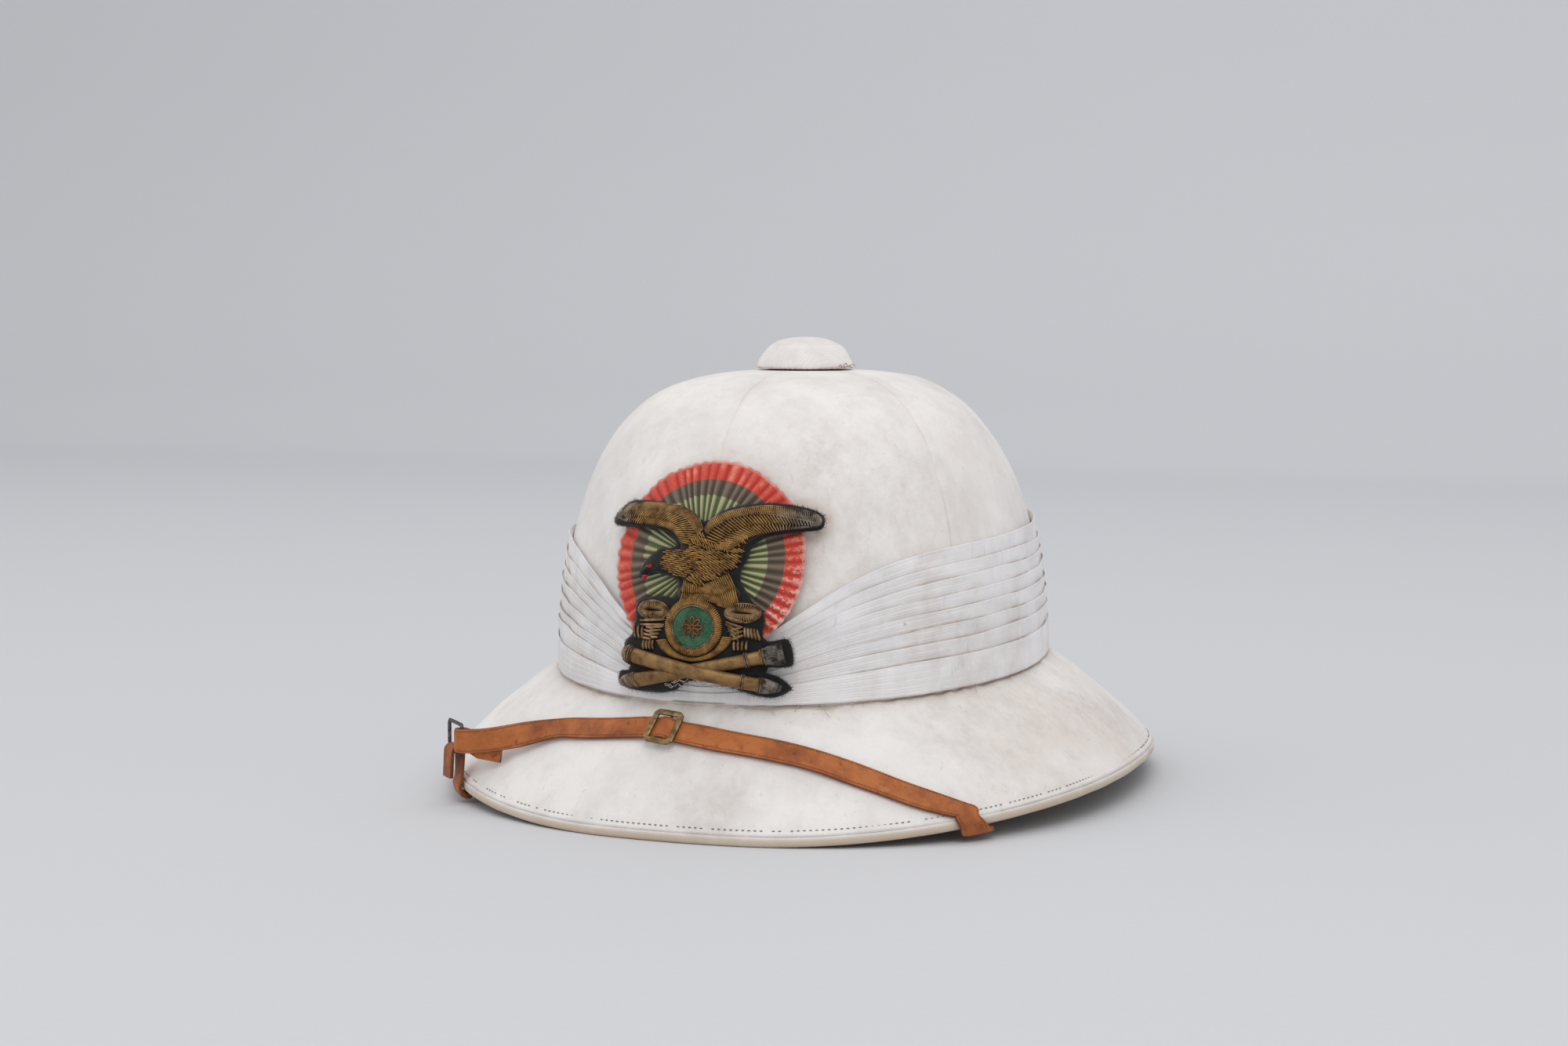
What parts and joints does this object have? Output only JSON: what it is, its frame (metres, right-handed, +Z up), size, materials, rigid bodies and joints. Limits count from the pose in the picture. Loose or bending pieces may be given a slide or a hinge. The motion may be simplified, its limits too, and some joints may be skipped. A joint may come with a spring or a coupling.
{
  "type": "pith helmet",
  "caption": "White pith helmet with a pleated cloth band, an embroidered eagle badge on a pleated cockade, a vent button and a leather chin strap over the brim.",
  "frame": {"origin": "middle of the bounding box's base, on the surface the rim stands on", "axes": "+Z up, -Y the way the helmet looks, +X the wearer's left"},
  "size_m": [0.299, 0.338, 0.1936],
  "materials": {
    "canvas": "off-white plain-weave cotton cloth over a moulded wall, brown at the seams",
    "band_cloth": "off-white thin cotton cloth in flat pleats",
    "button_cloth": "off-white cotton cloth over a domed core",
    "stem_metal": "plain dull brass",
    "ribbon": "pleated silk ribbon with red, grey-brown and green rings",
    "felt": "black wool felt with a frayed edge",
    "bullion": "tarnished gilt wire embroidery",
    "gilt_thread": "gilt thread wound over a padded core",
    "green_felt": "green wool felt",
    "leather": "red-brown saddle leather, edges stitched",
    "buckle_brass": "dull aged brass",
    "ring_metal": "dark steel wire",
    "stud_metal": "plain dull brass"
  },
  "bodies": {
    "root": {"crown": "canvas", "brim": "canvas", "puggaree": "band_cloth", "vent_button": "button_cloth", "button_stem": "stem_metal", "cockade": "ribbon", "badge_felt": "felt", "eagle": "bullion", "disc_ring": "bullion", "green_disc": "green_felt", "horn": "bullion", "knot_left": "bullion", "knot_right": "bullion", "cords_left": "bullion", "cords_right": "bullion", "barrel_over": "gilt_thread", "barrel_under_left": "gilt_thread", "barrel_under_right": "gilt_thread", "chin_strap": "leather", "strap_tab": "leather", "strap_buckle": "buckle_brass", "strap_ring": "ring_metal", "strap_stud_left": "stud_metal", "strap_stud_right": "stud_metal"}
  },
  "joints": []
}
